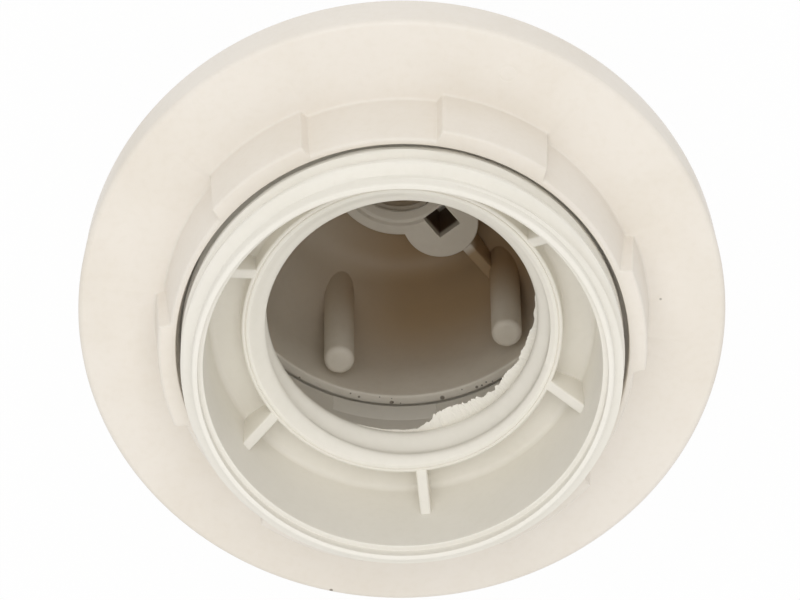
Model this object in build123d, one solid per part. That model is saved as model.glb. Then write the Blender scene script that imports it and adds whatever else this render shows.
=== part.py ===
# Moulded plastic lamp holder with a shade ring: a threaded skirt with the collar for a
# round-threaded lamp, the ring that screws along the skirt to clamp a shade, and the cap that
# closes the back and screws on to a pipe nipple.
# Millimetres. +Z runs along the axis towards the open lamp end. The origin is the centre of
# the neck's end face. Angles are measured from +X, anticlockwise seen from the open end.
import os
from math import cos, radians, sin

from build123d import *

os.makedirs("parts", exist_ok=True)

# Heights along the axis
neck_length = 6.0
back_wall = 2.0
chamber_depth = 18.0
socket_depth = 5.7
seat_gap = 0.3
skirt_length = 27.7
ring_set_back = 5.0

# Round lamp thread, 27 mm
lamp_crest_radius = 12.2
lamp_depth = 1.1
lamp_pitch = 3.629
lamp_foot_width = 2.9
lamp_crest_width = 0.7
lamp_lead_in = 0.3
lamp_phase = 200.0

# Skirt, from the lamp thread outwards
collar_wall = 1.14
collar_rim_width = 0.74
collar_back_depth = 13.0
collar_length = 4.25
recess_width = 2.96
floor_depth = 11.2
floor_thickness = 1.4
skirt_wall = 1.4
rim_step_wall = 0.55
rim_step_depth = 1.0
rib_count = 6
rib_thickness = 1.0
rib_rise = 2.35
rib_drop = 0.05
rib_first_angle = 36.0

# Skirt's outer thread, 40 x 2.5, for the shade ring: plain at its crests
barrel_thread_depth = 1.05
barrel_lead_in = 2.0

# Thread between skirt and cap: plain at its crests
joint_step = 0.75
joint_clearance = 0.1

# Cap
neck_radius = 8.0
cap_wall = 1.9
cap_seat_width = 2.9
cap_back_bevel = 4.5
chamber_bevel = 3.5
socket_wall = 1.8
socket_wall_height = 7.2
shade_seat_width = 2.0
shade_seat_thickness = 2.5

# Nipple thread, 10 x 1
nipple_bore_radius = 4.46
nipple_chamfer = 0.8
nipple_boss_radius = 6.4
nipple_boss_height = 5.5

# Boss for the screw that locks the nipple, its web, and the posts for the contact insert
screw_boss_radius = 3.4
screw_boss_height = 6.2
screw_boss_offset = 6.4
screw_boss_angle = 307.5
screw_hole_side = 2.3
screw_hole_depth = 7.0
web_thickness = 1.0
post_radius = 1.45
post_height = 15.2
post_reach = 1.8
post_angles = (67.5, 127.5, 247.5, 307.5)

# Shade ring
ring_flange_width = 8.85
ring_height = 12.0
ring_clearance = 0.1
ring_mouth_gap = 0.45
ring_mouth_depth = 1.5
ring_collar_wall = 0.9
ring_rear_wall = 1.7
plate_thickness = 1.8
plate_height = 5.2
edge_wall = 1.6
grip_count = 6
grip_height = 0.8
grip_width_angle = 27.5
grip_first_angle = 8.5
grip_corner_round = 0.35

# Places along the axis that follow from the sizes above
back_inside = neck_length + back_wall
cap_seat = back_inside + chamber_depth
cap_front = cap_seat + socket_depth
skirt_back = cap_seat + seat_gap
skirt_front = skirt_back + skirt_length
spigot_top = cap_front + seat_gap
floor_top = skirt_front - floor_depth
floor_bottom = floor_top - floor_thickness
collar_back = skirt_front - collar_back_depth
collar_front = collar_back + collar_length
ring_front = skirt_front - ring_set_back
ring_back = ring_front - ring_height
plate_front = ring_back + plate_height

# Radii that follow from the sizes above
lamp_root_radius = lamp_crest_radius + lamp_depth
collar_outer_radius = lamp_root_radius + collar_wall
skirt_bore_radius = collar_outer_radius + recess_width
skirt_root_radius = skirt_bore_radius + skirt_wall
barrel_crest_radius = skirt_root_radius + barrel_thread_depth
joint_crest_radius = barrel_crest_radius - joint_step
socket_radius = joint_crest_radius + joint_clearance
cap_bore_radius = socket_radius - cap_seat_width
socket_outer_radius = socket_radius + socket_wall
shade_seat_radius = socket_outer_radius + shade_seat_width
ring_bore_radius = barrel_crest_radius + ring_clearance
ring_mouth_radius = barrel_crest_radius + ring_mouth_gap
ring_radius = ring_bore_radius + ring_flange_width


def bevelled(before, corner, after, size):
    """The corner itself, or the two ends of the bevel that takes it off."""
    if not size:
        return [corner]
    return [corner + (side - corner).normalized() * size for side in (before, after)]


def outline(corners):
    """Closed face in the XZ plane from (radius, height, bevel) points."""
    places = [Vector(r, z) for r, z, _ in corners]
    points = []
    for number, (_, _, size) in enumerate(corners):
        after = places[(number + 1) % len(places)]
        points += bevelled(places[number - 1], places[number], after, size)
    return Plane.XZ * make_face(Polyline(*points, close=True))


def turned(corners):
    """Solid turned about the axis from (radius, height, bevel) points."""
    return revolve(outline(corners), Axis.Z)


def tube(inner, outer, low, high):
    """Plain tube on the axis between two heights."""
    return turned([(inner, low, 0), (outer, low, 0), (outer, high, 0), (inner, high, 0)])


def lamp_ridge():
    """Ridge of the round lamp thread, its crest and hollow flanks drawn as flats."""
    half = lamp_depth / 2
    middle = lamp_pitch / 4
    crest = lamp_crest_width / 2
    buried = half + 0.3
    foot = middle + (lamp_foot_width / 2 - middle) * buried / half
    corners = [(-half, -crest), (0, -middle), (buried, -foot)]
    mirrored = [(x, -y) for x, y in reversed(corners)]
    section = Plane.XZ * make_face(Polyline(*corners, *mirrored, close=True))
    turns = int(collar_length / lamp_pitch) + 2
    middle_radius = lamp_crest_radius + half
    path = Helix(pitch=lamp_pitch, height=lamp_pitch * turns, radius=middle_radius)
    ridge = sweep(Pos(middle_radius, 0, 0) * section, path=path, is_frenet=True)
    return Pos(0, 0, collar_back - lamp_pitch) * Rot(0, 0, lamp_phase) * ridge


def make_cap():
    """Bell with its nipple neck, the insert's posts and the boss for the locking screw."""
    shoulder = cap_front - socket_wall_height
    flange_low = cap_front - shade_seat_thickness
    wall_radius = cap_bore_radius + cap_wall
    mouth_bevel = ring_bore_radius - socket_radius
    body = turned(
        [
            (0, 0, 0),
            (neck_radius, 0, 0),
            (neck_radius, neck_length, 0),
            (wall_radius, neck_length, cap_back_bevel),
            (wall_radius, shoulder, 0),
            (socket_outer_radius, shoulder, 0),
            (socket_outer_radius, flange_low, 0),
            (shade_seat_radius, flange_low, 0),
            (shade_seat_radius, cap_front, 0),
            (0, cap_front, 0),
        ]
    )
    chamber = turned(
        [
            (0, back_inside, 0),
            (cap_bore_radius, back_inside, chamber_bevel),
            (cap_bore_radius, cap_seat, 0),
            (socket_radius, cap_seat, 0),
            (socket_radius, cap_front - mouth_bevel, 0),
            (ring_bore_radius, cap_front, 0),
            (ring_bore_radius, cap_front + 1, 0),
            (0, cap_front + 1, 0),
        ]
    )
    shell = body - chamber

    boss_front = back_inside + nipple_boss_height
    boss_root = neck_length + 0.5
    nipple_boss = Pos(0, 0, boss_root) * extrude(Circle(nipple_boss_radius), boss_front - boss_root)

    screw_front = back_inside + screw_boss_height
    turn = Rot(0, 0, screw_boss_angle)
    screw_boss = Pos(screw_boss_offset, 0, boss_root) * extrude(
        Circle(screw_boss_radius), screw_front - boss_root
    )
    web_reach = cap_bore_radius - post_reach / 2
    web = Pos((screw_boss_offset + web_reach) / 2, 0, boss_root) * extrude(
        Rectangle(web_reach - screw_boss_offset, web_thickness), screw_front - boss_root
    )
    screw_boss = (turn * (screw_boss + web)) & body

    posts = []
    for angle in post_angles:
        post = Pos(cap_bore_radius - post_reach + post_radius, 0, boss_root) * extrude(
            Circle(post_radius), back_inside + post_height - boss_root
        )
        posts.append((Rot(0, 0, angle) * post) & body)

    flare = nipple_bore_radius + nipple_chamfer
    bore = turned(
        [
            (0, -1, 0),
            (nipple_bore_radius, -1, 0),
            (nipple_bore_radius, boss_front - nipple_chamfer, 0),
            (flare, boss_front, 0),
            (flare, screw_front + 1, 0),
            (0, screw_front + 1, 0),
        ]
    )
    screw_hole = turn * Pos(screw_boss_offset, 0, screw_front - screw_hole_depth) * extrude(
        Rectangle(screw_hole_side, screw_hole_side), screw_hole_depth + 1
    )
    cap = shell + nipple_boss + screw_boss
    for post in posts:
        cap += post
    return cap - bore - screw_hole


def make_collar():
    """Collar with the lamp thread, cut off square at the back and with a lead-in at its rim."""
    spare = lamp_pitch + 0.5
    long_wall = tube(
        lamp_root_radius, collar_outer_radius, collar_back - spare, collar_front + spare
    )
    lead_top = collar_front - lamp_lead_in
    envelope = turned(
        [
            (lamp_crest_radius - lamp_depth, collar_back, 0),
            (collar_outer_radius, collar_back, 0),
            (collar_outer_radius, collar_front, 0),
            (collar_outer_radius - collar_rim_width, collar_front, 0),
            (lamp_root_radius, lead_top, 0),
            (lamp_crest_radius - lamp_depth, lead_top - 2 * lamp_depth, 0),
        ]
    )
    return (long_wall + lamp_ridge()) & envelope


def make_skirt():
    """Threaded sleeve with the lamp collar, its floor and ribs, all one moulding."""
    rim_step_radius = skirt_root_radius - rim_step_wall
    step_low = skirt_front - rim_step_depth
    barrel_high = skirt_front - barrel_lead_in
    overlap = 0.5
    sleeve = turned(
        [
            (skirt_bore_radius, skirt_back, 0),
            (joint_crest_radius, skirt_back, 0),
            (joint_crest_radius, spigot_top, 0),
            (barrel_crest_radius, spigot_top, 0),
            (barrel_crest_radius, barrel_high, 0),
            (skirt_root_radius, barrel_high, 0),
            (skirt_root_radius, skirt_front, 0),
            (rim_step_radius, skirt_front, 0),
            (rim_step_radius, step_low, 0),
            (skirt_bore_radius, step_low, 0),
            (skirt_bore_radius, floor_top, 0),
            (collar_outer_radius - overlap, floor_top, 0),
            (collar_outer_radius - overlap, floor_bottom, 0),
            (skirt_bore_radius, floor_bottom, 0),
        ]
    )
    rib_low = floor_top - floor_thickness / 2
    rib_in = collar_outer_radius - overlap / 2
    rib_out = skirt_bore_radius + overlap / 2
    rib_side = outline(
        [
            (rib_in, rib_low, 0),
            (rib_out, rib_low, 0),
            (rib_out, collar_front + rib_rise, 0),
            (rib_in, collar_front - rib_drop, 0),
        ]
    )
    rib = extrude(rib_side, rib_thickness / 2, both=True)
    for number in range(rib_count):
        sleeve += Rot(0, 0, rib_first_angle + number * 360 / rib_count) * rib
    return sleeve + make_collar()


def make_ring():
    """Shade ring: a flat flange with a turned-down edge and a collar with grips."""
    collar_radius = ring_mouth_radius + ring_collar_wall
    rear_radius = ring_bore_radius + ring_rear_wall
    plate_back = plate_front - plate_thickness
    flange = turned(
        [
            (ring_bore_radius, ring_back, 0),
            (rear_radius, ring_back, 0),
            (rear_radius, plate_back, 0),
            (ring_radius - edge_wall, plate_back, 0),
            (ring_radius - edge_wall, ring_back, 0),
            (ring_radius, ring_back, 0),
            (ring_radius, plate_front, 0.5),
            (ring_bore_radius, plate_front, 0),
        ]
    )
    collar = Circle(collar_radius)
    grip_radius = collar_radius + grip_height
    for number in range(grip_count):
        angle = grip_first_angle + number * 360 / grip_count
        reach = 2 * grip_radius
        side = reach * sin(radians(grip_width_angle / 2)) / cos(radians(grip_width_angle / 2))
        wedge = make_face(Polyline((0, 0), (reach, side), (reach, -side), close=True))
        collar += Circle(grip_radius) & (Rot(0, 0, angle) * wedge)
    collar = fillet(collar.vertices(), grip_corner_round)
    grips = Pos(0, 0, plate_front) * extrude(collar, ring_front - plate_front)
    mouth_low = ring_front - ring_mouth_depth
    bore = turned(
        [
            (0, ring_back - 1, 0),
            (ring_bore_radius, ring_back - 1, 0),
            (ring_bore_radius, mouth_low - ring_mouth_gap, 0),
            (ring_mouth_radius, mouth_low, 0),
            (ring_mouth_radius, ring_front + 1, 0),
            (0, ring_front + 1, 0),
        ]
    )
    return flange + (grips - bore)


export_step(make_cap(), "parts/cap.step")
export_step(make_skirt(), "parts/threaded_skirt.step")
export_step(make_ring(), "parts/shade_ring.step")
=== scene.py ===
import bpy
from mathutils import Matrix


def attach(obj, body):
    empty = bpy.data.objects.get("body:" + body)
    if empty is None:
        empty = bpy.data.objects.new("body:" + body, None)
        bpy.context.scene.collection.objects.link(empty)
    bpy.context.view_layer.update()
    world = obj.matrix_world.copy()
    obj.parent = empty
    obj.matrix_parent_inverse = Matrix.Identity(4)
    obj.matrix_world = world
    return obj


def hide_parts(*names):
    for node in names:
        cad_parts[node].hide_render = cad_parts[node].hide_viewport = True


bl_info = {
    "name": "Moulded lamp holder",
    "version": (1, 0, 0),
    "blender": (4, 5, 0),
    "location": "3D View > Sidebar > Lamp holder",
    "description": "Builds the looks of a moulded lamp holder with its shade ring",
    "category": "Object",
}

import math
import random

import bmesh
import bpy
from mathutils import Matrix, Vector

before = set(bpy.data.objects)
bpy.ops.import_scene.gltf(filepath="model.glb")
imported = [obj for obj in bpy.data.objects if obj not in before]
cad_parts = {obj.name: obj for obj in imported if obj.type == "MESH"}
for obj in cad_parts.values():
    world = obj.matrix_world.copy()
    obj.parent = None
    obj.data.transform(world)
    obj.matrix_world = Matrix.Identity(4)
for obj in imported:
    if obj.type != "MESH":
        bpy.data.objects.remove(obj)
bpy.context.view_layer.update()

MM = 0.001
SHARP_ANGLE = math.radians(38)

# Heights in millimetres, the neck's end at 0
NECK_TOP = 6.0
BACK_INSIDE = 8.0
BOSS_FRONT = 12.8
CHAMBER_BEND = 16.2
BELL_BEND = 16.6
SHOULDER_BACK = 24.5
POST_END = 25.3
CAP_SEAT = 25.8
SEAT_GROOVE = CAP_SEAT - 0.7
SOCKET_LOW = CAP_SEAT + 0.3
SOCKET_HIGH = 30.95
SHADE_RIM_BACK = 29.2
CAP_FRONT = 31.7
SKIRT_BACK = 26.3
SPIGOT_LOW = 26.7
SPIGOT_HIGH = 31.8
SPIGOT_TOP = 32.0
BARREL_LOW = 32.2
BARREL_HIGH = 53.0
COLLAR_BACK = 41.0
FLOOR_BOTTOM = 41.4
FLOOR_TOP = 42.8
LAMP_THREAD_HIGH = 44.95
COLLAR_FRONT = 45.25
LIP_BACK = 53.0
SKIRT_FRONT = 54.0
RING_BACK = 37.0
RING_THREAD_LOW = RING_BACK + 0.6
RING_HOLLOW = 40.4
PLATE_FRONT = 42.2
RING_THREAD_HIGH = 47.05
RING_FRONT = 49.0

# Radii in millimetres
NIPPLE_BORE = 4.46
NIPPLE_BOSS = 6.4
NECK = 8.0
BELL_FOOT = 12.9
BELL = 18.2
SHOULDER = 21.0
SHADE_RIM = 23.0
SOCKET_WALL = 19.2
SEAT_EDGE = 17.5
CHAMBER = 16.6
CHAMBER_FOOT = 12.4
SCREW_BOSS = 3.5
POST_RADIUS = 1.4
LAMP_CREST = 12.2
LAMP_ROOT = 13.3
COLLAR_OUTSIDE = 14.44
SKIRT_BORE = 17.4
LIP = 18.25
SPIGOT = 18.4
SKIRT_ROOT = 18.8
RING_BORE = 19.95
RING_MOUTH = 20.25
GRIP_FRONT = 20.85
GRIP_FOOT = 21.45
RING_HOLLOW_INNER = 21.65
RING_HOLLOW_OUTER = 27.2
RING_EDGE = 28.8
RING_EDGE_FRONT = RING_EDGE + 0.35

# Places of the small forms from the axis in millimetres
SCREW_BOSS_OFFSET = 6.5
SCREW_HOLE_OFFSET = 6.4
SCREW_HOLE_SIDE = 2.4
POST_CENTRE = 14.4

# The bell's wall runs inwards below this height, by this much for each millimetre
TAPER_TOP = 16.4
TAPER_SLOPE = 0.5

# Threads in millimetres, each start being the crest's height at angle zero
BARREL_PITCH = 2.5
BARREL_START = 48.075
SPIGOT_START = 27.0
LAMP_PITCH = 3.629
LAMP_START = 43.52 - LAMP_PITCH / 4
NIPPLE_PITCH = 1.0
NIPPLE_START = 0.4

GRIP_FIRST = math.radians(6.5)
GRIP_FLANK = math.radians(1.4)
RIB_FIRST = math.radians(36)
PAD_FIRST = math.radians(24)
POST_FIRSTS = (math.radians(66), math.radians(132))
SCREW_BOSS_ANGLE = math.radians(305.5)
SCREW_HOLE_ANGLE = math.radians(307.5)
WEB_ANGLE = math.radians(307.9)

# Width of the soft lamps in metres
LAMP_SIZE = 0.6

SPECK_COLOUR = (0.12, 0.09, 0.06, 1)
# Painted shade that darkens the walls of the locking screw's empty square hole
HOLE_SHADE_COLOUR = (0.16, 0.09, 0.045, 1)


class Wire:
    """A node's output socket that can be used in sums."""

    def __init__(self, board, socket):
        self.board = board
        self.socket = socket

    def __add__(self, other):
        return self.board.sum("ADD", self, other)

    def __radd__(self, other):
        return self.board.sum("ADD", other, self)

    def __sub__(self, other):
        return self.board.sum("SUBTRACT", self, other)

    def __rsub__(self, other):
        return self.board.sum("SUBTRACT", other, self)

    def __mul__(self, other):
        return self.board.sum("MULTIPLY", self, other)

    def __rmul__(self, other):
        return self.board.sum("MULTIPLY", other, self)

    def __truediv__(self, other):
        return self.board.sum("DIVIDE", self, other)


class Board:
    """Adds nodes to one tree."""

    def __init__(self, tree):
        self.tree = tree

    def node(self, kind, settings=None, sockets=None, out=0):
        """Adds a node, sets it up, joins its sockets and returns one output."""
        made = self.tree.nodes.new(kind)
        for name, value in (settings or {}).items():
            setattr(made, name, value)
        for name, value in (sockets or {}).items():
            if isinstance(value, Wire):
                self.tree.links.new(value.socket, made.inputs[name])
            else:
                made.inputs[name].default_value = value
        return Wire(self, made.outputs[out] if made.outputs else None)

    def sum(self, operation, *values):
        """One Math node."""
        return self.node("ShaderNodeMath", {"operation": operation}, dict(enumerate(values)))

    def smooth(self, value, low, high, to_low=0.0, to_high=1.0):
        """A smooth step from one value to another."""
        sockets = {
            "Value": value, "From Min": low, "From Max": high, "To Min": to_low, "To Max": to_high,
        }
        return self.node("ShaderNodeMapRange", {"interpolation_type": "SMOOTHSTEP"}, sockets)

    def split(self, vector):
        """The three parts of a vector."""
        made = self.tree.nodes.new("ShaderNodeSeparateXYZ")
        self.tree.links.new(vector.socket, made.inputs[0])
        return [Wire(self, socket) for socket in made.outputs]

    def length(self, x, y):
        """Length of a flat vector."""
        return self.sum("SQRT", x * x + y * y)

    def to_nearest_whole(self, value):
        """Distance of a value from the nearest whole number."""
        part = self.sum("FLOORED_MODULO", value, 1.0)
        return self.sum("MINIMUM", part, 1.0 - part)

    def blend(self, share, first, second):
        """A colour between two others."""
        sockets = {0: share, 6: first, 7: second}
        return self.node("ShaderNodeMix", {"data_type": "RGBA"}, sockets, out=2)

    def from_point(self, place, x, y, z):
        """Distance from a point that is given in millimetres."""
        sockets = {0: place, 1: (x * MM, y * MM, z * MM)}
        return self.node("ShaderNodeVectorMath", {"operation": "DISTANCE"}, sockets, out=1)


def geometry_tree(name, inputs):
    """New Geometry Nodes tree with its board, its input wires and its inputs' identifiers."""
    tree = bpy.data.node_groups.new(name, "GeometryNodeTree")
    tree.interface.new_socket("Geometry", in_out="INPUT", socket_type="NodeSocketGeometry")
    tree.interface.new_socket("Geometry", in_out="OUTPUT", socket_type="NodeSocketGeometry")
    for label, kind in inputs:
        tree.interface.new_socket(label, in_out="INPUT", socket_type="NodeSocket" + kind)
    board = Board(tree)
    source = tree.nodes.new("NodeGroupInput")
    wires = {socket.name: Wire(board, socket) for socket in source.outputs if socket.name}
    return tree, board, wires


def end_tree(board, geometry, material):
    """Realizes instances, sets the material and closes the tree."""
    real = board.node("GeometryNodeRealizeInstances", sockets={"Geometry": geometry})
    sockets = {"Geometry": real, "Material": material}
    painted = board.node("GeometryNodeSetMaterial", sockets=sockets)
    board.tree.links.new(painted.socket, board.tree.nodes.new("NodeGroupOutput").inputs[0])


def place_of_points(board):
    """Outward direction, angle in turns and height of each point."""
    place = board.node("GeometryNodeInputPosition")
    x, y, z = board.split(place)
    turns = board.sum("ARCTAN2", y, x) / math.tau
    radius = board.length(x, y)
    outward = board.node("ShaderNodeCombineXYZ", sockets={"X": x / radius, "Y": y / radius})
    return outward, turns, z


def shift_outward(board, geometry, outward, amount):
    """Moves points along the radius."""
    sockets = {0: outward, "Scale": amount}
    offset = board.node("ShaderNodeVectorMath", {"operation": "SCALE"}, sockets)
    return board.node("GeometryNodeSetPosition", sockets={"Geometry": geometry, "Offset": offset})


def marked_wall(board, wires):
    """Weight of each point on the wall that the tree shapes."""
    sockets = {"Name": wires["Wall"]}
    return board.node("GeometryNodeInputNamedAttribute", {"data_type": "FLOAT"}, sockets)


def screw_thread_tree():
    """Raises a helical ridge on the wall that an attribute marks."""
    tree, board, wires = geometry_tree(
        "Screw thread",
        [
            ("Wall", "String"),
            ("Pitch", "Float"),
            ("Ridge height", "Float"),
            ("Crest width", "Float"),
            ("Base width", "Float"),
            ("Crest at angle zero", "Float"),
            ("Roundness", "Float"),
            ("Material", "Material"),
        ],
    )
    outward, turns, z = place_of_points(board)
    along = (z - wires["Crest at angle zero"]) / wires["Pitch"] - turns
    away = board.to_nearest_whole(along) * wires["Pitch"]
    flank = (wires["Base width"] - wires["Crest width"]) * 0.5
    rise = (wires["Base width"] * 0.5 - away) / flank
    flat = board.sum("MINIMUM", board.sum("MAXIMUM", rise, 0.0), 1.0)
    soft = board.smooth(flat, 0.0, 1.0)
    form = flat + (soft - flat) * wires["Roundness"]
    amount = form * marked_wall(board, wires) * wires["Ridge height"]
    moved = shift_outward(board, wires["Geometry"], outward, amount)
    end_tree(board, moved, wires["Material"])
    return tree


def lobes_tree():
    """Raises even lobes round the wall that an attribute marks."""
    tree, board, wires = geometry_tree(
        "Finger grips",
        [
            ("Wall", "String"),
            ("Count", "Float"),
            ("First angle", "Float"),
            ("Width", "Float"),
            ("Flank", "Float"),
            ("Lobe height", "Float"),
            ("Material", "Material"),
        ],
    )
    outward, turns, _ = place_of_points(board)
    along = (turns - wires["First angle"] / math.tau) * wires["Count"]
    away = board.to_nearest_whole(along) * math.tau / wires["Count"]
    half = wires["Width"] * 0.5
    half_flank = wires["Flank"] * 0.5
    form = board.smooth(away, half - half_flank, half + half_flank, 1.0, 0.0)
    amount = form * marked_wall(board, wires) * wires["Lobe height"]
    moved = shift_outward(board, wires["Geometry"], outward, amount)
    end_tree(board, moved, wires["Material"])
    return tree


def round_repeat_tree():
    """Repeats a shape round the axis."""
    tree, board, wires = geometry_tree(
        "Round repeat",
        [("Count", "Int"), ("First angle", "Float"), ("Material", "Material")],
    )
    points = board.node("GeometryNodePoints", sockets={"Count": wires["Count"]})
    index = board.node("GeometryNodeInputIndex")
    angle = index * board.sum("DIVIDE", math.tau, wires["Count"])
    turn = board.node("ShaderNodeCombineXYZ", sockets={"Z": angle + wires["First angle"]})
    copies = board.node(
        "GeometryNodeInstanceOnPoints",
        sockets={"Points": points, "Instance": wires["Geometry"], "Rotation": turn},
    )
    end_tree(board, copies, wires["Material"])
    return tree


def add_nodes(shape, tree, **values):
    """Puts a tree on an object with its inputs set by their identifiers."""
    modifier = shape.modifiers.new(tree.name, "NODES")
    modifier.node_group = tree
    for item in tree.interface.items_tree:
        key = item.name.lower().replace(" ", "_")
        if item.in_out == "INPUT" and key in values:
            modifier[item.identifier] = values[key]


def plain_mesh(shape):
    """Applies an object's modifiers and leaves it with a plain mesh."""
    graph = bpy.context.evaluated_depsgraph_get()
    mesh = bpy.data.meshes.new_from_object(shape.evaluated_get(graph))
    shape.modifiers.clear()
    old = shape.data
    shape.data = mesh
    bpy.data.meshes.remove(old)
    return shape


def joined(name, shapes):
    """One object with the plain meshes of several."""
    parts = bmesh.new()
    material = shapes[0].data.materials[0]
    for shape in shapes:
        parts.from_mesh(shape.data)
        bpy.data.objects.remove(shape)
    mesh = bpy.data.meshes.new(name)
    parts.to_mesh(mesh)
    parts.free()
    mesh.materials.clear()
    mesh.materials.append(material)
    for face in mesh.polygons:
        face.use_smooth = True
        face.material_index = 0
    mesh.set_sharp_from_angle(angle=SHARP_ANGLE)
    return new_object(name, mesh)


def new_object(name, mesh):
    """Links a mesh to the scene."""
    shape = bpy.data.objects.new(name, mesh)
    bpy.context.scene.collection.objects.link(shape)
    return shape


def rounded_outline(corners, closed=True, step=0.16):
    """Points of a turned outline from (radius, height, round, wall name) corners.

    A span whose two corners name the same wall is divided finely for its thread. A name that
    starts with = only marks its corners.
    """
    spans = []
    count = len(corners)
    for number, (radius, height, size, wall) in enumerate(corners):
        here = Vector((radius, height))
        if not size:
            spans.append([(here, wall)])
            continue
        before = Vector(corners[number - 1][:2])
        after = Vector(corners[(number + 1) % count][:2])
        back = (before - here).normalized()
        ahead = (after - here).normalized()
        half = back.angle(ahead) / 2
        reach = size / math.tan(half)
        centre = here + (back + ahead).normalized() * (size / math.sin(half))
        first = here + back * reach - centre
        last = here + ahead * reach - centre
        sweep = first.angle(last)
        parts = max(3, int(sweep * size / 0.25), int(sweep / 0.3))
        arc = []
        for part in range(parts + 1):
            share = part / parts
            one = math.sin((1 - share) * sweep)
            two = math.sin(share * sweep)
            arc.append((centre + (first * one + last * two) / math.sin(sweep), wall))
        spans.append(arc)
    points = []
    for number, arc in enumerate(spans):
        points += arc
        if not closed and number == count - 1:
            break
        following = spans[(number + 1) % count][0]
        same_wall = arc[-1][1] and arc[-1][1] == following[1] and not arc[-1][1].startswith("=")
        if same_wall:
            length = (following[0] - arc[-1][0]).length
            parts = int(length / step)
            for part in range(1, parts):
                points.append((arc[-1][0].lerp(following[0], part / parts), arc[-1][1]))
    return points


def ramp(height, low, high, low_run, high_run):
    """Share of a thread's full height where it runs out at its ends."""
    share = 1.0
    if low_run:
        share = min(share, (height - low) / low_run)
    if high_run:
        share = min(share, (high - height) / high_run)
    return max(0.0, share)


def round_point(radius, angle, height):
    """Point in metres from a radius, an angle and a height in millimetres."""
    return radius * MM * math.cos(angle), radius * MM * math.sin(angle), height * MM


def turned(name, points, angles, material, run_outs=None, closed=True):
    """Mesh of an outline turned about the axis, with one attribute for each named wall."""
    verts = []
    marks = {}
    rows = []
    for place, wall in points:
        radius, height = place
        if radius < 1e-6:
            row = [len(verts)] * len(angles)
            verts.append((0, 0, height * MM))
        else:
            row = list(range(len(verts), len(verts) + len(angles)))
            verts += [round_point(radius, angle, height) for angle in angles]
        if wall:
            key = wall.lstrip("=")
            weight = 1.0
            if run_outs and key in run_outs:
                weight = ramp(height, *run_outs[key])
            for index in set(row):
                marks.setdefault(key, {})[index] = weight
        rows.append(row)
    faces = []
    turns = len(angles)
    for number in range(len(rows) if closed else len(rows) - 1):
        low = rows[number]
        high = rows[(number + 1) % len(rows)]
        for side in range(turns):
            ahead = (side + 1) % turns
            loop = [low[side], low[ahead], high[ahead], high[side]]
            face = list(dict.fromkeys(loop))
            if len(face) > 2:
                faces.append(face)
    mesh = bpy.data.meshes.new(name)
    mesh.from_pydata(verts, [], faces)
    for key, weights in marks.items():
        layer = mesh.attributes.new(key, "FLOAT", "POINT")
        values = [0.0] * len(verts)
        for index, weight in weights.items():
            values[index] = weight
        layer.data.foreach_set("value", values)
    mesh.materials.append(material)
    mesh.update()
    return new_object(name, mesh)


def even_angles(count):
    """Angles of one turn."""
    return [math.tau * number / count for number in range(count)]


def slab(name, outline, thickness, material, bevel):
    """Plate of an outline in the XZ plane, centred on Y, with soft edges."""
    half = thickness / 2 * MM
    near = [(x * MM, -half, z * MM) for x, z in outline]
    far = [(x * MM, half, z * MM) for x, z in outline]
    count = len(outline)
    faces = [list(range(count)), list(range(2 * count - 1, count - 1, -1))]
    for number in range(count):
        ahead = (number + 1) % count
        faces.append([ahead, number, number + count, ahead + count])
    mesh = bpy.data.meshes.new(name)
    mesh.from_pydata(near + far, [], faces)
    mesh.materials.append(material)
    shape = new_object(name, mesh)
    soften = shape.modifiers.new("Soft edges", "BEVEL")
    soften.width = bevel * MM
    soften.segments = 3
    soften.limit_method = "ANGLE"
    return shape


def turn_mesh(shape, matrix):
    """Puts a turn or a shift into the mesh."""
    shape.data.transform(matrix)
    return shape


def new_material(name):
    """New material and the board of its empty tree."""
    material = bpy.data.materials.new(name)
    material.use_nodes = True
    material.node_tree.nodes.clear()
    return material, Board(material.node_tree)


def plastic(name, colour, deep, specks=(), inside=None, marks=()):
    """Fine satin moulding plastic with a faint mottle, dark specks and round tool marks.

    Each speck is x, y, z, radius and darkness, each mark is x, y, z and radius, in millimetres.
    """
    material, board = new_material(name)
    place = board.node("ShaderNodeTexCoord", out=3)
    cloud_sockets = {"Vector": place, "Scale": 90.0, "Detail": 4.0}
    cloud = board.node("ShaderNodeTexNoise", sockets=cloud_sockets)
    grain_sockets = {"Vector": place, "Scale": 1500.0, "Detail": 3.0}
    grain = board.node("ShaderNodeTexNoise", sockets=grain_sockets)
    shade = board.smooth(cloud, 0.35, 0.75) * 0.6 + board.smooth(grain, 0.4, 0.8) * 0.25
    tint = board.blend(shade, (*colour, 1), (*deep, 1))
    # Painted shade browning the cap's chamber towards its back
    if inside:
        tint = painted_chamber_shade(board, place, tint, inside)
    for x, y, z, radius, dark in specks:
        away = board.from_point(place, x, y, z)
        spot = board.smooth(away, radius * 0.5 * MM, radius * MM, dark, 0.0)
        tint = board.blend(spot, tint, SPECK_COLOUR)
    bump_height = grain * 0.2
    for x, y, z, radius in marks:
        beside_line = board.sum("ABSOLUTE", board.from_point(place, x, y, z) - radius * MM)
        bump_height = bump_height - board.smooth(beside_line, 0.0, 0.16 * MM, 1.0, 0.0) * 1.2
    normal = board.node(
        "ShaderNodeBump",
        sockets={"Strength": 0.25, "Distance": 0.00006, "Height": bump_height},
    )
    shader = board.node(
        "ShaderNodeBsdfPrincipled",
        sockets={
            "Base Color": tint,
            "Roughness": 0.4 + 0.14 * cloud,
            "IOR": 1.5,
            "Specular IOR Level": 0.45,
            "Normal": normal,
        },
    )
    board.node("ShaderNodeOutputMaterial", sockets={"Surface": shader})
    return material


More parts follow.
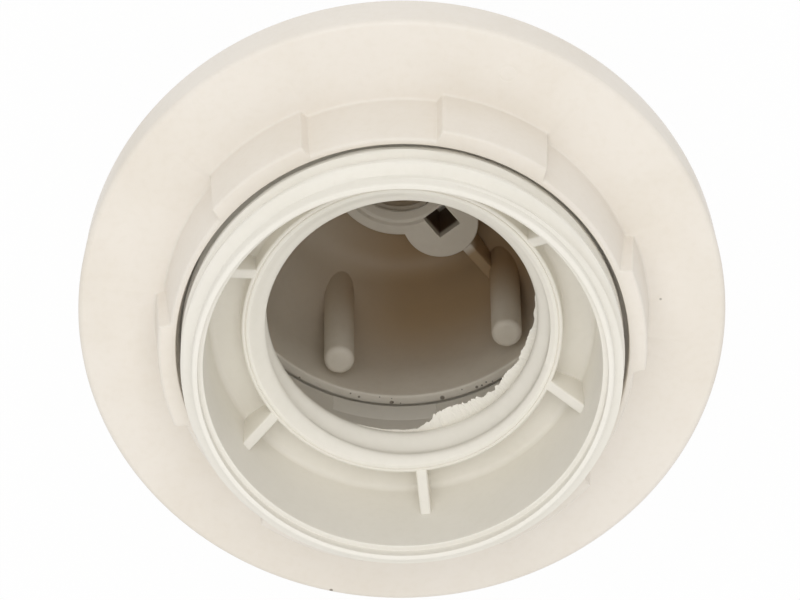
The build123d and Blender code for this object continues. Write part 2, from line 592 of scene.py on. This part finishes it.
def painted_chamber_shade(board, place, tint, colour):
    """Painted shade: browns the chamber's wall and floor towards the back, and leaves its bosses
    paler as painted light.
    """
    x, y, z = board.split(place)
    reach = board.length(x, y)

    def step(value, low, high, to_low=0.0, to_high=1.0):
        """Smooth step between two lengths in millimetres."""
        return board.smooth(value, low * MM, high * MM, to_low, to_high)

    in_front_of_back = step(z, BACK_INSIDE - 0.9, BACK_INSIDE - 0.4)
    # Painted shade, browner towards the chamber's back
    depth = step(z, 12.0, CAP_SEAT - 1.5, 1.0, 0.1) * in_front_of_back
    taper = board.sum("MINIMUM", (z - TAPER_TOP * MM) * TAPER_SLOPE, 0.0)
    middle_of_wall = taper + (CHAMBER + 0.8) * MM
    inside = step(reach - middle_of_wall, -0.1, 0.1, 1.0, 0.0)
    below_seat = step(z, CAP_SEAT - 0.5, CAP_SEAT - 0.1, 1.0, 0.0)
    near_axis = step(reach, 10.0, 11.0, 1.0, 0.0)
    # Painted light: the bosses keep the paler plastic colour
    on_boss = step(z, BACK_INSIDE + 0.5, BACK_INSIDE + 4.0) * near_axis
    # Painted shade, heavier towards +X and lighter towards -X
    more_shade_to_right = step(x, -15.0, 2.0, 0.1, 1.0)
    share = depth * inside * below_seat * more_shade_to_right * (1.0 - 0.95 * on_boss)
    tint = board.blend(share, tint, (*colour, 1))
    # Painted shade in the locking screw's square hole
    across = x - SCREW_HOLE_OFFSET * MM * math.cos(SCREW_HOLE_ANGLE)
    along = y - SCREW_HOLE_OFFSET * MM * math.sin(SCREW_HOLE_ANGLE)
    hole_shade = step(board.length(across, along), 1.75, 1.85, 1.0, 0.0) * in_front_of_back
    hole_shade = hole_shade * step(z, BOSS_FRONT - 1.4, BOSS_FRONT - 0.6, 1.0, 0.0)
    return board.blend(hole_shade, tint, HOLE_SHADE_COLOUR)


def floor_paint(colour, camera_white):
    """Pale floor, near white to the camera and in reflections, that keeps a faint shadow."""
    material, board = new_material("Pale floor")
    seen = board.tree.nodes.new("ShaderNodeLightPath")
    kinds = ("Is Camera Ray", "Is Glossy Ray", "Is Transmission Ray")
    camera, glossy, passing = (Wire(board, seen.outputs[kind]) for kind in kinds)
    share = board.sum("MINIMUM", camera + glossy + passing, 1.0) * camera_white
    matt = board.node("ShaderNodeBsdfDiffuse", sockets={"Color": (*colour, 1)})
    white_sockets = {"Color": (1, 1, 1, 1), "Strength": 1.0}
    white = board.node("ShaderNodeEmission", sockets=white_sockets)
    mixed = board.node("ShaderNodeMixShader", sockets={0: share, 1: matt, 2: white})
    board.node("ShaderNodeOutputMaterial", sockets={"Surface": mixed})
    return material


class RingSettings(bpy.types.PropertyGroup):
    """Shade ring"""

    colour: bpy.props.FloatVectorProperty(
        name="Ring colour", description="Colour of the ring's plastic", subtype="COLOR",
        size=3, min=0, max=1, default=(0.84, 0.79, 0.72),
    )
    grips: bpy.props.IntProperty(
        name="Grips", description="Number of finger grips", default=6, min=2,
    )
    grip_height: bpy.props.FloatProperty(
        name="Grip height", description="How far a grip stands out", default=0.001,
        subtype="DISTANCE", unit="LENGTH",
    )
    grip_width: bpy.props.FloatProperty(
        name="Grip width", description="Angle that one grip takes", default=math.radians(27.5),
        subtype="ANGLE", unit="ROTATION",
    )


class SkirtSettings(bpy.types.PropertyGroup):
    """Threaded skirt"""

    colour: bpy.props.FloatVectorProperty(
        name="Skirt colour", description="Colour of the skirt's plastic", subtype="COLOR",
        size=3, min=0, max=1, default=(0.86, 0.83, 0.76),
    )
    ribs: bpy.props.IntProperty(
        name="Ribs", description="Ribs between collar and sleeve", default=6, min=2,
    )
    rib_thickness: bpy.props.FloatProperty(
        name="Rib thickness", description="Thickness of one rib", default=0.001,
        subtype="DISTANCE", unit="LENGTH",
    )
    torn_edge: bpy.props.FloatProperty(
        name="Torn edge", description="How far the ragged flash reaches into the bore",
        default=0.0019, subtype="DISTANCE", unit="LENGTH",
    )


class CapSettings(bpy.types.PropertyGroup):
    """Cap"""

    colour: bpy.props.FloatVectorProperty(
        name="Cap colour", description="Colour of the cap's plastic", subtype="COLOR",
        size=3, min=0, max=1, default=(0.86, 0.81, 0.72),
    )
    # Colour of the painted shade deep in the chamber
    chamber_shade_colour: bpy.props.FloatVectorProperty(
        name="Chamber colour", description="Colour of the plastic that the lamp has warmed",
        subtype="COLOR", size=3, min=0, max=1, default=(0.44, 0.31, 0.18),
    )
    posts: bpy.props.IntProperty(
        name="Post pairs", description="Pairs of insert posts", default=2, min=1,
    )


class StageSettings(bpy.types.PropertyGroup):
    """Stage"""

    floor_colour: bpy.props.FloatVectorProperty(
        name="Floor colour", description="Colour of the floor", subtype="COLOR",
        size=3, min=0, max=1, default=(0.9, 0.9, 0.9),
    )
    sky: bpy.props.FloatProperty(
        name="Sky", description="Strength of the even light", default=0.69, min=0,
    )
    key: bpy.props.FloatProperty(
        name="Key light", description="Power of the upper lamp in watts", default=2.0, min=0,
    )
    fill: bpy.props.FloatProperty(
        name="Fill light", description="Power of the lower lamp in watts", default=0.9, min=0,
    )


def add_thread(shape, tree, wall, pitch, height, crest, base, start, roundness):
    """One thread on one wall, a negative height making a thread inside a bore."""
    add_nodes(
        shape, tree, wall=wall, pitch=pitch * MM, ridge_height=height * MM,
        crest_width=crest * MM, base_width=base * MM, crest_at_angle_zero=start * MM,
        roundness=roundness, material=shape.data.materials[0],
    )


class HOLDER_OT_ring(bpy.types.Operator):
    """Builds the shade ring with its grips and its inside thread"""

    bl_idname = "holder.ring"
    bl_label = "Shade ring"

    def execute(self, context):
        sizes = context.scene.holder_ring
        material = plastic(
            "Ring plastic", sizes.colour, deep=(0.78, 0.72, 0.63),
            specks=[
                (-6.9, -28.0, 42.1, 0.22, 0.8),
                (23.27, 1.15, 42.2, 0.15, 0.5),
                (-12.8, -20.5, 42.2, 0.2, 0.6),
            ],
            marks=[(9.77, 23.8, 42.2, 0.75)],
        )
        corners = [
            (RING_BORE, RING_BACK, 0.25, ""),
            (RING_HOLLOW_INNER, RING_BACK, 0.3, ""),
            (RING_HOLLOW_INNER, RING_HOLLOW, 0.6, ""),
            (RING_HOLLOW_OUTER, RING_HOLLOW, 0.6, ""),
            (RING_HOLLOW_OUTER, RING_BACK, 0.2, ""),
            (RING_EDGE, RING_BACK, 0.3, ""),
            (RING_EDGE_FRONT, PLATE_FRONT, 0.5, ""),
            (GRIP_FOOT, PLATE_FRONT, 0.3, "=grip"),
            (GRIP_FRONT, RING_FRONT, 0.35, "=grip"),
            (RING_MOUTH, RING_FRONT, 0.12, ""),
            (RING_MOUTH, RING_THREAD_HIGH + 0.45, 0, ""),
            (RING_BORE, RING_THREAD_HIGH, 0, "ring_thread"),
            (RING_BORE, RING_THREAD_LOW, 0, "ring_thread"),
        ]
        # Close points on the grips' flanks keep their edges crisp
        angles = even_angles(300)
        pitch = math.tau / sizes.grips
        for number in range(sizes.grips):
            middle = GRIP_FIRST + number * pitch
            for side in (-1, 1):
                edge = middle + side * sizes.grip_width / 2
                flank = [edge + math.radians(0.12 * step) for step in range(-12, 13)]
                angles += [angle % math.tau for angle in flank]
        angles = sorted(set(round(angle, 6) for angle in angles))
        # The grips stand out 0.7 of their height at the foot and all of it at the front
        fade = (RING_FRONT - PLATE_FRONT) / 0.3
        shape = turned(
            "shade_ring_moulding", rounded_outline(corners), angles, material,
            run_outs={
                "ring_thread": (RING_THREAD_LOW, RING_THREAD_HIGH, 1.0, 1.0),
                "grip": (PLATE_FRONT - 0.7 * fade, SKIRT_FRONT, fade, 0),
            },
        )
        add_nodes(
            shape, lobes_tree(), wall="grip", count=float(sizes.grips), first_angle=GRIP_FIRST,
            width=sizes.grip_width, flank=GRIP_FLANK, lobe_height=sizes.grip_height,
            material=material,
        )
        add_thread(
            shape, screw_thread_tree(), "ring_thread", BARREL_PITCH, height=-0.8, crest=0.5,
            base=1.6, start=BARREL_START + BARREL_PITCH / 2, roundness=0.3,
        )
        ring = joined("shade_ring_moulding", [plain_mesh(shape)])
        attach(ring, "ring")
        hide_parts("shade_ring")
        return {"FINISHED"}


class HOLDER_OT_skirt(bpy.types.Operator):
    """Builds the threaded skirt with its collar, ribs and torn flash"""

    bl_idname = "holder.skirt"
    bl_label = "Threaded skirt"

    def execute(self, context):
        sizes = context.scene.holder_skirt
        material = plastic("Skirt plastic", sizes.colour, deep=(0.80, 0.77, 0.69))
        corners = [
            (SKIRT_BORE, SKIRT_BACK, 0.15, ""),
            (SPIGOT, SKIRT_BACK, 0.3, ""),
            (SPIGOT, SPIGOT_LOW, 0, "spigot"),
            (SPIGOT, SPIGOT_HIGH, 0, "spigot"),
            (SPIGOT, SPIGOT_TOP, 0.1, ""),
            (SKIRT_ROOT, SPIGOT_TOP, 0.1, ""),
            (SKIRT_ROOT, BARREL_LOW, 0, "barrel"),
            (SKIRT_ROOT, BARREL_HIGH, 0, "barrel"),
            (SKIRT_ROOT, SKIRT_FRONT, 0.22, ""),
            (LIP, SKIRT_FRONT, 0.1, ""),
            (LIP, LIP_BACK, 0.1, ""),
            (SKIRT_BORE + 0.38, LIP_BACK, 0.12, ""),
            (SKIRT_BORE, FLOOR_TOP, 0.6, ""),
            (COLLAR_OUTSIDE, FLOOR_TOP, 0.35, ""),
            (COLLAR_OUTSIDE, COLLAR_FRONT, 0.2, ""),
            # Fine line round the collar's front
            (14.15, COLLAR_FRONT, 0, ""),
            (14.08, COLLAR_FRONT - 0.1, 0, ""),
            (14.0, COLLAR_FRONT, 0, ""),
            (13.7, COLLAR_FRONT, 0.1, ""),
            (LAMP_ROOT, LAMP_THREAD_HIGH, 0, "lamp"),
            (LAMP_ROOT, COLLAR_BACK, 0, "lamp"),
            (COLLAR_OUTSIDE, COLLAR_BACK, 0.3, ""),
            (COLLAR_OUTSIDE, FLOOR_BOTTOM, 0, ""),
            (SKIRT_BORE, FLOOR_BOTTOM, 0.6, ""),
        ]
        shape = turned(
            "skirt_sleeve", rounded_outline(corners), even_angles(342), material,
            run_outs={
                "spigot": (SPIGOT_LOW, SPIGOT_HIGH, 0.8, 0.8),
                "barrel": (BARREL_LOW, BARREL_HIGH, 1.0, 0.35),
                "lamp": (COLLAR_BACK, LAMP_THREAD_HIGH, 0, 0.9),
            },
        )
        thread = screw_thread_tree()
        add_thread(
            shape, thread, "spigot", BARREL_PITCH, height=0.65, crest=0.7, base=1.6,
            start=SPIGOT_START, roundness=0.2,
        )
        add_thread(
            shape, thread, "barrel", BARREL_PITCH, height=1.0, crest=0.6, base=1.9,
            start=BARREL_START, roundness=0.25,
        )
        add_thread(
            shape, thread, "lamp", LAMP_PITCH, height=LAMP_CREST - LAMP_ROOT, crest=0.3, base=3.5,
            start=LAMP_START, roundness=0.8,
        )
        parts = [plain_mesh(shape)]
        rib = slab(
            "rib",
            [(14.2, 42.2), (17.6, 42.2), (17.6, 47.6), (14.2, COLLAR_FRONT - 0.07)],
            sizes.rib_thickness / MM, material, 0.16,
        )
        repeat = round_repeat_tree()
        add_nodes(rib, repeat, count=sizes.ribs, first_angle=RIB_FIRST, material=material)
        parts.append(plain_mesh(rib))
        parts.append(wall_pads(material, repeat))
        parts.append(torn_flash(sizes.torn_edge / MM, material))
        skirt = joined("skirt_moulding", parts)
        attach(skirt, "skirt")
        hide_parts("threaded_skirt")
        return {"FINISHED"}


def bent_bar(name, angles, section, material):
    """Closed bar that follows part of a circle, with its own section at each angle."""
    verts = []
    for angle in angles:
        verts += [round_point(radius, angle, height) for radius, height in section(angle)]
    size = len(verts) // len(angles)
    faces = []
    for number in range(len(angles) - 1):
        for side in range(size):
            ahead = (side + 1) % size
            base = number * size
            faces.append([base + side, base + size + side, base + size + ahead, base + ahead])
    faces.append(list(range(size)))
    faces.append(list(range(len(verts) - 1, len(verts) - 1 - size, -1)))
    mesh = bpy.data.meshes.new(name)
    mesh.from_pydata(verts, [], faces)
    mesh.materials.append(material)
    return new_object(name, mesh)


def wall_pads(material, repeat):
    """Three shallow pads inside the skirt's back end."""
    span = [math.radians(degrees) for degrees in range(-16, 18, 2)]
    low = SKIRT_BACK + 0.3
    high = low + 2.2
    inner = SKIRT_BORE - 0.13
    outer = SKIRT_BORE + 0.2
    section = [(inner, low), (outer, low), (outer, high + 0.8), (inner, high)]
    pad = bent_bar("pad", span, lambda _: section, material)
    add_nodes(pad, repeat, count=3, first_angle=PAD_FIRST, material=material)
    return plain_mesh(pad)


def between(knots, value):
    """Height at a value on the line through some (value, height) points."""
    for (low, start), (high, end) in zip(knots, knots[1:]):
        if value <= high:
            return start + (end - start) * (value - low) / (high - low)
    return knots[-1][1]


def torn_flash(reach, material):
    """Ragged film of plastic at the collar's back edge, which swells over part of its angles."""
    rough = random.Random(11)
    swell = [
        (-118, 0.05), (-84, 0.16), (-75, 0.95), (-60, 0.9), (-50, 0.6),
        (-38, 0.55), (-14, 0.4), (5, 0.2), (14, 0),
    ]
    first, last, steps = swell[0][0], swell[-1][0], 420
    degrees = [first + (last - first) * step / steps for step in range(steps + 1)]
    depth = []
    broad, level = 0.5, 0.3
    for step, angle in enumerate(degrees):
        if step % 9 == 0:
            broad_goal = rough.uniform(0.0, 1.0)
        broad += (broad_goal - broad) * 0.25
        level = min(1.0, max(0.0, level + rough.uniform(-0.4, 0.4)))
        depth.append(reach * (0.55 + 0.25 * broad + 0.2 * level) * between(swell, angle))
    span = [math.radians(angle) for angle in degrees]
    reach_at = dict(zip(span, depth))
    lift = {angle: rough.uniform(-0.03, 0.06) for angle in span}

    def section(angle):
        inner = LAMP_CREST + 0.15 - reach_at[angle]
        outer = LAMP_CREST + 0.9
        low = COLLAR_BACK + 0.05 + lift[angle]
        return [
            (inner, low), (outer, COLLAR_BACK + 0.02), (outer, COLLAR_BACK + 0.3),
            (inner, low + 0.12),
        ]

    return bent_bar("torn_flash", span, section, material)


class HOLDER_OT_cap(bpy.types.Operator):
    """Builds the cap with its nipple boss, posts and screw boss"""

    bl_idname = "holder.cap"
    bl_label = "Cap"

    def execute(self, context):
        sizes = context.scene.holder_cap
        material = plastic(
            "Cap plastic", sizes.colour, deep=(0.76, 0.70, 0.60),
            specks=seat_specks(),
            # Painted shade in the chamber
            inside=sizes.chamber_shade_colour,
        )
        nipple_high = BOSS_FRONT - 0.9
        corners = [
            (5.1, 0, 0, ""),
            (NECK, 0, 0.5, ""),
            (NECK, NECK_TOP, 0.8, ""),
            (BELL_FOOT, NECK_TOP, 0.6, ""),
            (BELL, BELL_BEND, 1.0, ""),
            (BELL, SHOULDER_BACK, 0.5, ""),
            (SHOULDER, SHOULDER_BACK, 0.6, ""),
            (SHOULDER, SHADE_RIM_BACK, 0.4, ""),
            (SHADE_RIM, SHADE_RIM_BACK, 0.4, ""),
            (SHADE_RIM, CAP_FRONT, 0.3, ""),
            (RING_BORE, CAP_FRONT, 0.1, ""),
            (SOCKET_WALL, SOCKET_HIGH, 0, "socket"),
            (SOCKET_WALL, SOCKET_LOW, 0, "socket"),
            (SOCKET_WALL, SEAT_GROOVE, 0.2, ""),
            (SEAT_EDGE, SEAT_GROOVE, 0.2, ""),
            (SEAT_EDGE, CAP_SEAT, 0.1, ""),
            (CHAMBER, CAP_SEAT, 0.2, ""),
            (CHAMBER, CHAMBER_BEND, 16.0, ""),
            (CHAMBER_FOOT, BACK_INSIDE, 3.0, ""),
            (NIPPLE_BOSS, BACK_INSIDE, 0.3, "=boss"),
            (NIPPLE_BOSS, BOSS_FRONT, 0.15, "=boss"),
            (5.5, BOSS_FRONT, 0.1, ""),
            (5.3, BOSS_FRONT - 0.35, 0.1, ""),
            (5.0, BOSS_FRONT - 0.35, 0.1, ""),
            (NIPPLE_BORE, nipple_high, 0, "nipple"),
            (NIPPLE_BORE, 0.6, 0, "nipple"),
        ]
        shape = turned(
            "cap_bell", rounded_outline(corners, step=0.14), even_angles(288), material,
            run_outs={
                "socket": (SOCKET_LOW, SOCKET_HIGH, 0.8, 0.8),
                "nipple": (0.6, nipple_high, 0.5, 0.1),
            },
        )
        thread = screw_thread_tree()
        add_thread(
            shape, thread, "socket", BARREL_PITCH, height=-0.6, crest=0.5, base=1.5,
            start=SPIGOT_START + BARREL_PITCH / 2, roundness=0.2,
        )
        add_thread(
            shape, thread, "nipple", NIPPLE_PITCH, height=0.54, crest=0.05, base=0.9,
            start=NIPPLE_START, roundness=0.1,
        )
        add_screw_boss(shape)
        hole = square_hole(material)
        cutter = shape.modifiers.new("Square hole", "BOOLEAN")
        cutter.operation = "DIFFERENCE"
        cutter.solver = "EXACT"
        cutter.object = hole
        parts = [plain_mesh(shape)]
        bpy.data.objects.remove(hole)
        repeat = round_repeat_tree()
        for first in POST_FIRSTS:
            post = insert_post(material)
            add_nodes(post, repeat, count=sizes.posts, first_angle=first, material=material)
            parts.append(plain_mesh(post))
        low, high = BACK_INSIDE - 0.3, BOSS_FRONT - 0.25
        web_outline = [(9.2, low), (14.2, low + 2.2), (14.2, high), (9.2, high)]
        web = slab("web", web_outline, 1.0, material, 0.15)
        parts.append(plain_mesh(turn_mesh(web, Matrix.Rotation(WEB_ANGLE, 4, "Z"))))
        cap = joined("cap_moulding", parts)
        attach(cap, "cap")
        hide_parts("cap")
        return {"FINISHED"}


def seat_specks():
    """Places of the dark specks along the seat ledge that the photograph shows."""
    rough = random.Random(5)
    specks = [(-1.1, -17.25, 0.24), (3.6, -16.85, 0.28), (6.8, -15.8, 0.18), (-4.1, -16.6, 0.15)]
    for _ in range(12):
        angle = math.radians(rough.uniform(212, 300))
        reach = rough.uniform(CHAMBER + 0.2, SEAT_EDGE - 0.1)
        x, y = reach * math.cos(angle), reach * math.sin(angle)
        specks.append((x, y, rough.uniform(0.07, 0.13)))
    return [(x, y, CAP_SEAT, radius, 0.75) for x, y, radius in specks]


def add_screw_boss(shape):
    """Pushes the nipple boss out to one side, where the locking screw's boss joins it."""
    mesh = shape.data
    layer = mesh.attributes["boss"].data
    for vertex, mark in zip(mesh.vertices, layer):
        if not mark.value:
            continue
        x, y, z = vertex.co
        turn = math.atan2(y, x) - SCREW_BOSS_ANGLE
        under_root = SCREW_BOSS**2 - (SCREW_BOSS_OFFSET * math.sin(turn)) ** 2
        if under_root <= 0 or math.cos(turn) <= 0:
            continue
        push = SCREW_BOSS_OFFSET * math.cos(turn) + math.sqrt(under_root) - NIPPLE_BOSS
        if push > 0:
            reach = math.hypot(x, y)
            scale = (reach + push * MM) / reach
            vertex.co = (x * scale, y * scale, z)


def square_hole(material):
    """Cutter for the locking screw's empty square hole."""
    half = SCREW_HOLE_SIDE / 2
    low = BOSS_FRONT - 6.2
    high = BOSS_FRONT + 1.0
    outline = [(-half, low), (half, low), (half, high), (-half, high)]
    hole = slab("hole", outline, SCREW_HOLE_SIDE, material, 0)
    hole.modifiers.clear()
    turn_mesh(hole, Matrix.Translation((SCREW_HOLE_OFFSET * MM, 0, 0)))
    return turn_mesh(hole, Matrix.Rotation(SCREW_HOLE_ANGLE, 4, "Z"))


def insert_post(material):
    """Round post on the bell's slanting wall, with a soft end."""
    base = 9.0
    corners = [
        (0, base, 0, ""),
        (POST_RADIUS, base, 0, ""),
        (POST_RADIUS, POST_END, 0.55, ""),
        (0, POST_END, 0, ""),
    ]
    outline = rounded_outline(corners, closed=False)
    post = turned("post", outline, even_angles(36), material, closed=False)
    turn_mesh(post, Matrix.Translation((POST_CENTRE * MM, 0, 0)))
    # The base follows the slant and stays inside the wall
    foot_at_wall = TAPER_TOP - 0.8
    for vertex in post.data.vertices:
        if vertex.co.z < (base + 0.5) * MM:
            into_chamber = CHAMBER - vertex.co.x / MM
            vertex.co.z = (foot_at_wall - into_chamber / TAPER_SLOPE) * MM
    return post


class HOLDER_OT_stage(bpy.types.Operator):
    """Sets the floor, the soft light and the photograph's camera"""

    bl_idname = "holder.stage"
    bl_label = "Stage"

    def execute(self, context):
        sizes = context.scene.holder_stage
        floor_mesh = bpy.data.meshes.new("floor")
        half = 3.0
        low = -0.1 * MM
        corners = [(-half, -half, low), (half, -half, low), (half, half, low), (-half, half, low)]
        floor_mesh.from_pydata(corners, [], [[0, 1, 2, 3]])
        floor_mesh.materials.append(floor_paint(sizes.floor_colour, camera_white=0.96))
        new_object("floor", floor_mesh)
        world = bpy.data.worlds.new("Even light")
        context.scene.world = world
        world.use_nodes = True
        backdrop = world.node_tree.nodes["Background"]
        backdrop.inputs["Color"].default_value = (1.0, 0.99, 0.97, 1)
        backdrop.inputs["Strength"].default_value = sizes.sky
        add_lamp("upper lamp", (-0.05, 0.44, 0.66), sizes.key)
        add_lamp("lower lamp", (0.05, -0.4, 0.7), sizes.fill)
        add_camera(context.scene)
        context.scene.view_settings.view_transform = "Standard"
        return {"FINISHED"}


def add_lamp(name, place, power):
    """Square soft lamp that faces the holder."""
    data = bpy.data.lights.new(name, "AREA")
    data.size = LAMP_SIZE
    data.energy = power
    lamp = bpy.data.objects.new(name, data)
    bpy.context.scene.collection.objects.link(lamp)
    lamp.location = place
    to_holder = Vector((0, 0, 0.04)) - Vector(place)
    lamp.rotation_euler = to_holder.to_track_quat("-Z", "Y").to_euler()


def add_camera(scene):
    """Camera at the photograph's place, looking down into the lamp end."""
    tilt = math.radians(26.54)
    roll = math.radians(1.0)
    distance = 800.0
    focal_pixels = 8962.0
    picture_width = 800
    shift_x, shift_y = 0.23, -4.39
    side = Vector((1, 0, 0))
    over = Vector((0, math.cos(tilt), -math.sin(tilt)))
    back = Vector((0, math.sin(tilt), math.cos(tilt)))
    cosine, sine = math.cos(roll), math.sin(roll)
    right = side * cosine - over * sine
    up = side * sine + over * cosine
    along_side = -(cosine * shift_x + sine * shift_y)
    along_over = sine * shift_x - cosine * shift_y
    place = side * along_side + over * along_over + back * distance + Vector((0, 0, RING_FRONT))
    data = bpy.data.cameras.new("camera")
    data.sensor_width = 36
    data.lens = focal_pixels * data.sensor_width / picture_width
    data.clip_end = 10
    camera = bpy.data.objects.new("camera", data)
    scene.collection.objects.link(camera)
    basis = Matrix((right, up, back)).transposed().to_4x4()
    camera.matrix_world = Matrix.Translation(place * MM) @ basis
    scene.camera = camera


class HOLDER_PT_panel(bpy.types.Panel):
    """Lists the holder's parts"""

    bl_idname = "HOLDER_PT_panel"
    bl_label = "Lamp holder"
    bl_space_type = "VIEW_3D"
    bl_region_type = "UI"
    bl_category = "Lamp holder"

    def draw(self, context):
        layout = self.layout
        for operator, group in BUILD_ORDER:
            column = layout.column(align=True)
            column.operator(operator)
            settings = getattr(context.scene, group)
            for name in settings.__annotations__:
                column.prop(settings, name)


BUILD_ORDER = [
    ("holder.ring", "holder_ring"),
    ("holder.skirt", "holder_skirt"),
    ("holder.cap", "holder_cap"),
    ("holder.stage", "holder_stage"),
]
GROUPS = {
    "holder_ring": RingSettings,
    "holder_skirt": SkirtSettings,
    "holder_cap": CapSettings,
    "holder_stage": StageSettings,
}
CLASSES = [
    *GROUPS.values(),
    HOLDER_OT_ring,
    HOLDER_OT_skirt,
    HOLDER_OT_cap,
    HOLDER_OT_stage,
    HOLDER_PT_panel,
]


def register():
    for item in CLASSES:
        bpy.utils.register_class(item)
    for name, group in GROUPS.items():
        setattr(bpy.types.Scene, name, bpy.props.PointerProperty(type=group))


def unregister():
    for name in GROUPS:
        delattr(bpy.types.Scene, name)
    for item in reversed(CLASSES):
        bpy.utils.unregister_class(item)


def main():
    """Builds everything."""
    register()
    bpy.ops.holder.ring()
    bpy.ops.holder.skirt()
    bpy.ops.holder.cap()
    bpy.ops.holder.stage()


if __name__ == "__main__":
    main()
